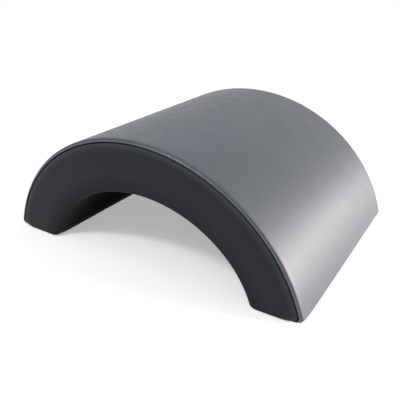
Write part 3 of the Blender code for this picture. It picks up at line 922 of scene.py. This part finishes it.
def make_underside():
    """The vinyl in the tunnel, rolled away from its two seams and turned under the feet."""
    shares = even_shares(TUNNEL, 0.0, COVER_FLOOR, TUNNEL_RADIUS, 1, ALONG_STEP)
    corner = arch_run(TUNNEL, 0.0, COVER_FLOOR, TUNNEL_RADIUS, 1, shares)[0]
    ends = (corner[0, 0] + TUNNEL_FLANGE, corner[-1, 0] - TUNNEL_FLANGE)
    edge = np.array((0.0, 0.0004, 0.0009, 0.0016, 0.0026, 0.0040, 0.0065, 0.011, 0.018))
    half = SIDE - TUNNEL_SEAM - SEAM_GAP
    middle = np.linspace(-half + edge[-1], half - edge[-1], 26)[1:-1]
    rows, seam, worn = [], [], []
    for across in np.concatenate([-half + edge, middle, half - edge[::-1]]):
        from_edge = half - abs(across)
        rounder = (TUNNEL_RADIUS - TUNNEL_RADIUS_WITHIN) * math.exp(-from_edge / MOUTH_REACH)
        radius = TUNNEL_RADIUS_WITHIN + rounder
        points, normals = arch_run(TUNNEL, 0.0, COVER_FLOOR, radius, 1, shares, ends)
        height = points[:, 1]
        crease = bell(height - CREASE_HEIGHT, CREASE_WIDTH)
        hem = np.exp(-((height - HEM_HEIGHT) / HEM_WIDTH) ** 4)
        uneven = LINING_UNEVEN * waves(31, lengths_along(points), np.full(len(points), across), shortest=0.06)
        pulled = HEM_BULGE * bell(height - HEM_HEIGHT, HEM_BULGE_WIDTH) - CREASE_DEPTH * crease
        sunk = TUNNEL_GROOVE * max(1 - from_edge / TUNNEL_GROOVE_REACH, 0) ** 2
        out = (uneven + pulled) * min(from_edge / LINING_UNEVEN_FADE, 1) - sunk
        # Painted shade in the lining, deepening from each mouth inwards, less on the hem.
        shaded = FULL_SHADE * min(from_edge / DARK_FROM, 1) ** DARK_CURVE * (1 - HEM_PALER * hem)
        # Painted shade in the seam groove at the lining's edge.
        line = min(max(2.4 - from_edge / 0.0009, 0), FULL_SHADE)
        points = points + normals * out[:, None]
        points[:, 1] = np.maximum(points[:, 1], COVER_FLOOR)
        rows.append(row_at(points, across))
        # Painted shade in the crease, in the tunnel's depth and in the seam groove, whichever is deepest.
        seam.append(np.maximum(np.maximum(crease, shaded), line))
        # Painted light on the hem, where it rounds towards the floor.
        worn.append(hem)
    inner_radius = TUNNEL_RADIUS_WITHIN - VINYL
    points, _ = arch_run(TUNNEL, VINYL, COVER_FLOOR + VINYL, inner_radius, 1, shares, ends)
    for across in np.linspace(half, -half, 8):
        rows.append(row_at(points, across))
        seam.append(np.zeros(len(points)))
        worn.append(np.zeros(len(points)))
    mesh = loft_mesh("cover_underside_vinyl", rows[::-1], seam=seam[::-1], worn=worn[::-1])
    # The lining keeps the side covers' slot but takes the painted-shade copy of their vinyl.
    add_piece("cover_underside_vinyl", mesh, "vinyl_side", "cover_underside", finish="vinyl_lining_painted_shade")


# Foam


def make_top_foam():
    """The block of foam under the top cover, with soft edges."""
    shares = even_shares(OUTER, -CROWN, FRAME_FLOOR, FOOT_RADIUS, -1, 0.010)
    rows = []
    for across in np.linspace(-FRAME_SIDE, FRAME_SIDE, 24):
        sunk = FOAM_SOFT * turned_in((FRAME_SIDE - abs(across)) / 0.006)
        points, _ = arch_run(OUTER, -FOAM_DEPTH - sunk, FRAME_FLOOR, FOOT_RADIUS - VINYL, -1, shares)
        rows.append(row_at(points, across))
    points, _ = arch_run(OUTER, GAP - DECK_INSET, FRAME_FLOOR, 0.0001, -1, shares)
    rows += [row_at(points, across) for across in np.linspace(FRAME_SIDE, -FRAME_SIDE, 6)]
    piece = add_piece("foam_top_block", loft_mesh("foam_top_block", rows), "foam", "foam_top")


def make_side_foam(node, front_or_back):
    """A thin sheet of foam under a side cover, with soft edges."""
    grid = panel_grid(np.linspace(0, 1, 90), np.linspace(0.03, 0.97, 12))
    grid[..., 1] = np.maximum(grid[..., 1], FRAME_FLOOR)
    from_edge = distance_to(np.concatenate([grid[:, 0], grid[::-1, -1]]), grid)
    soft = FOAM_SOFT * turned_in(from_edge / 0.004)
    outer = np.stack([grid[..., 0], front_or_back * (SIDE - SIDE_FOAM_IN - soft), grid[..., 1]], axis=-1)
    inner = outer.copy()
    inner[..., 1] = front_or_back * (FRAME_SIDE + GAP)
    rows = [*outer.swapaxes(0, 1), *inner.swapaxes(0, 1)[::-1]]
    if front_or_back < 0:
        rows = rows[::-1]
    piece = add_piece(node + "_sheet", loft_mesh(node + "_sheet", rows), "foam", node)


# Base pads


def make_base_pads():
    """Thin rubber sheets with round studs that the arch stands on."""
    for name in ("base_pad_left", "base_pad_right"):
        low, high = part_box(name)
        size = high - low
        middle = (low + high) / 2
        sheet = PAD * SHEET_SHARE
        form = bmesh.new()
        bmesh.ops.create_cube(form, size=1.0)
        bmesh.ops.scale(form, vec=(size.x, size.y, sheet), verts=form.verts)
        bmesh.ops.translate(form, vec=(middle.x, middle.y, high.z - sheet / 2), verts=form.verts)
        upright = [edge for edge in form.edges if abs(edge.verts[0].co.z - edge.verts[1].co.z) > sheet / 2]
        bmesh.ops.bevel(form, geom=upright, offset=0.008, segments=8, profile=0.5, affect="EDGES")
        columns = int((size.x - STUD_MARGIN) / STUD_SPACING)
        rows = int((size.y - STUD_MARGIN) / STUD_SPACING)
        tall = PAD - sheet * 0.8
        for column in range(columns + 1):
            for row in range(rows + 1):
                x = middle.x + (column - columns / 2) * STUD_SPACING
                y = middle.y + (row - rows / 2) * STUD_SPACING
                place = Matrix.Translation((x, y, low.z + tall / 2))
                stud = {"segments": 10, "cap_ends": True, "radius1": 0.0016, "radius2": 0.0024, "depth": tall}
                bmesh.ops.create_cone(form, **stud, matrix=place)
        mesh = bpy.data.meshes.new(name + "_studded")
        form.to_mesh(mesh)
        form.free()
        add_piece(name + "_studded", mesh, "rubber", name)


def finish_cad_nodes():
    """Finishes for the CAD pieces inside the covers, whose shapes stay as they are."""
    for name, node in frame["nodes"].items():
        if node.hide_render:
            continue
        slot = next(part["material_slot"] for part in frame["record"]["subparts"] if part["node"] == name)
        node.material_slots[0].material = MATERIALS[slot]


# The studio


def lamp(name, toward, distance, size, power, colour):
    """A soft light that looks at the arch from a direction given as (azimuth, elevation) in degrees."""
    azimuth, elevation = (math.radians(angle) for angle in toward)
    flat = math.cos(elevation)
    away = Vector((math.cos(azimuth) * flat, math.sin(azimuth) * flat, math.sin(elevation)))
    data = bpy.data.lights.new(name, "AREA")
    data.shape = "SQUARE"
    data.size = size
    data.energy = power
    data.color = colour
    light = bpy.data.objects.new(name, data)
    light.location = away * distance + Vector((0.0, 0.0, 0.1))
    light.rotation_euler = away.to_track_quat("Z", "Y").to_euler()
    bpy.context.scene.collection.objects.link(light)


def make_floor():
    """A white floor that keeps the arch's shadow and fades to plain white farther out."""
    mesh = bpy.data.meshes.new("floor")
    mesh.from_pydata([(-6, -6, 0), (6, -6, 0), (6, 6, 0), (-6, 6, 0)], [], [(0, 1, 2, 3)])
    floor = bpy.data.objects.new("floor", mesh)
    bpy.context.scene.collection.objects.link(floor)
    nodes = Nodes("floor")
    nodes.tree.nodes.remove(nodes.shader)
    paint = nodes.add("ShaderNodeBsdfDiffuse")
    paint.inputs["Color"].default_value = (0.90, 0.90, 0.90, 1.0)
    lift = nodes.add("ShaderNodeEmission")
    lift.inputs["Strength"].default_value = FLOOR_LIFT
    lifted = nodes.add("ShaderNodeAddShader")
    nodes.link(paint.outputs[0], lifted.inputs[0])
    nodes.link(lift.outputs[0], lifted.inputs[1])
    white = nodes.add("ShaderNodeEmission")
    distance = nodes.add("ShaderNodeVectorMath", operation="LENGTH")
    nodes.link(nodes.place, distance.inputs[0])
    far = nodes.ranged(distance.outputs["Value"], *FLOOR_FADE, 0.0, 1.0)
    seen = nodes.add("ShaderNodeMixShader")
    nodes.link(far, seen.inputs[0])
    nodes.link(lifted.outputs[0], seen.inputs[1])
    nodes.link(white.outputs[0], seen.inputs[2])
    choice = nodes.add("ShaderNodeMixShader")
    nodes.link(seen_directly(nodes.tree), choice.inputs[0])
    nodes.link(paint.outputs[0], choice.inputs[1])
    nodes.link(seen.outputs[0], choice.inputs[2])
    nodes.link(choice.outputs[0], nodes.tree.nodes["Material Output"].inputs["Surface"])
    mesh.materials.append(nodes.material)


def seen_directly(tree):
    """1 for what the camera sees, also by reflection or through glass, and 0 for light on other things."""
    ray = tree.nodes.new("ShaderNodeLightPath")
    total = ray.outputs["Is Camera Ray"]
    for name in ("Is Glossy Ray", "Is Transmission Ray"):
        either = tree.nodes.new("ShaderNodeMath")
        either.operation = "MAXIMUM"
        tree.links.new(total, either.inputs[0])
        tree.links.new(ray.outputs[name], either.inputs[1])
        total = either.outputs[0]
    return total


def make_world():
    world = bpy.data.worlds.new("studio")
    world.use_nodes = True
    tree = world.node_tree
    light = tree.nodes["Background"]
    light.inputs["Color"].default_value = (1.0, 1.0, 1.0, 1.0)
    light.inputs["Strength"].default_value = WORLD_LIGHT
    white = tree.nodes.new("ShaderNodeBackground")
    white.inputs["Color"].default_value = (1.0, 1.0, 1.0, 1.0)
    white.inputs["Strength"].default_value = 1.0
    mix = tree.nodes.new("ShaderNodeMixShader")
    tree.links.new(seen_directly(tree), mix.inputs[0])
    tree.links.new(light.outputs[0], mix.inputs[1])
    tree.links.new(white.outputs[0], mix.inputs[2])
    tree.links.new(mix.outputs[0], tree.nodes["World Output"].inputs["Surface"])
    bpy.context.scene.world = world


# By name: (azimuth, elevation) in degrees, distance and size in metres, power in watts, and colour
LAMPS = {
    "low_right": ((20.0, 4.0), 2.5, 1.3, 172.0, (1.0, 0.90, 0.91)),
    "back_right": ((45.0, 0.0), 2.5, 0.8, 14.0, (1.0, 1.0, 0.80)),
    "back_right_edge": ((54.0, 3.0), 2.5, 0.8, 6.3, (1.0, 0.85, 1.0)),
    "key": ((257.0, 50.0), 2.0, 0.24, 11.4, (0.94, 0.97, 1.0)),
    "front_fill": ((257.0, 50.0), 2.0, 1.0, 5.8, (0.97, 0.94, 1.0)),
    "left_fill": ((200.0, 60.0), 2.5, 1.1, 2.6, (0.95, 1.0, 0.95)),
    "back_left": ((135.0, 35.0), 2.5, 1.1, 1.0, (0.3, 0.7, 1.0)),
    "back": ((108.0, 38.0), 2.5, 0.9, 0.9, (0.25, 0.68, 1.0)),
}


def make_lights():
    for name, (toward, distance, size, power, colour) in LAMPS.items():
        lamp(name, toward, distance, size, power, colour)


def make_camera():
    data = bpy.data.cameras.new("camera")
    data.lens = LENS
    data.sensor_width = SENSOR
    camera = bpy.data.objects.new("camera", data)
    bpy.context.scene.collection.objects.link(camera)
    back = Vector((
        math.sin(AZIMUTH) * math.cos(ELEVATION),
        -math.cos(AZIMUTH) * math.cos(ELEVATION),
        math.sin(ELEVATION),
    ))
    right = Vector((math.cos(AZIMUTH), math.sin(AZIMUTH), 0.0))
    up = back.cross(right)
    place = right * AIM_RIGHT + up * AIM_UP + back * DISTANCE
    camera.matrix_world = Matrix.Translation(place) @ Matrix((right, up, back)).transposed().to_4x4()
    bpy.context.scene.camera = camera


make_camera()
make_top_cover()
make_stitches("stitches_front", -1, "topstitch_front")
make_stitches("stitches_back", 1, "topstitch_back")
make_side_cover("cover_front_vinyl", -1, "cover_side_front")
make_side_cover("cover_back_vinyl", 1, "cover_side_back")
make_underside()
make_top_foam()
make_side_foam("foam_side_front", -1)
make_side_foam("foam_side_back", 1)
make_base_pads()
finish_cad_nodes()
make_floor()
make_world()
make_lights()
bpy.context.scene.view_settings.view_transform = "Standard"
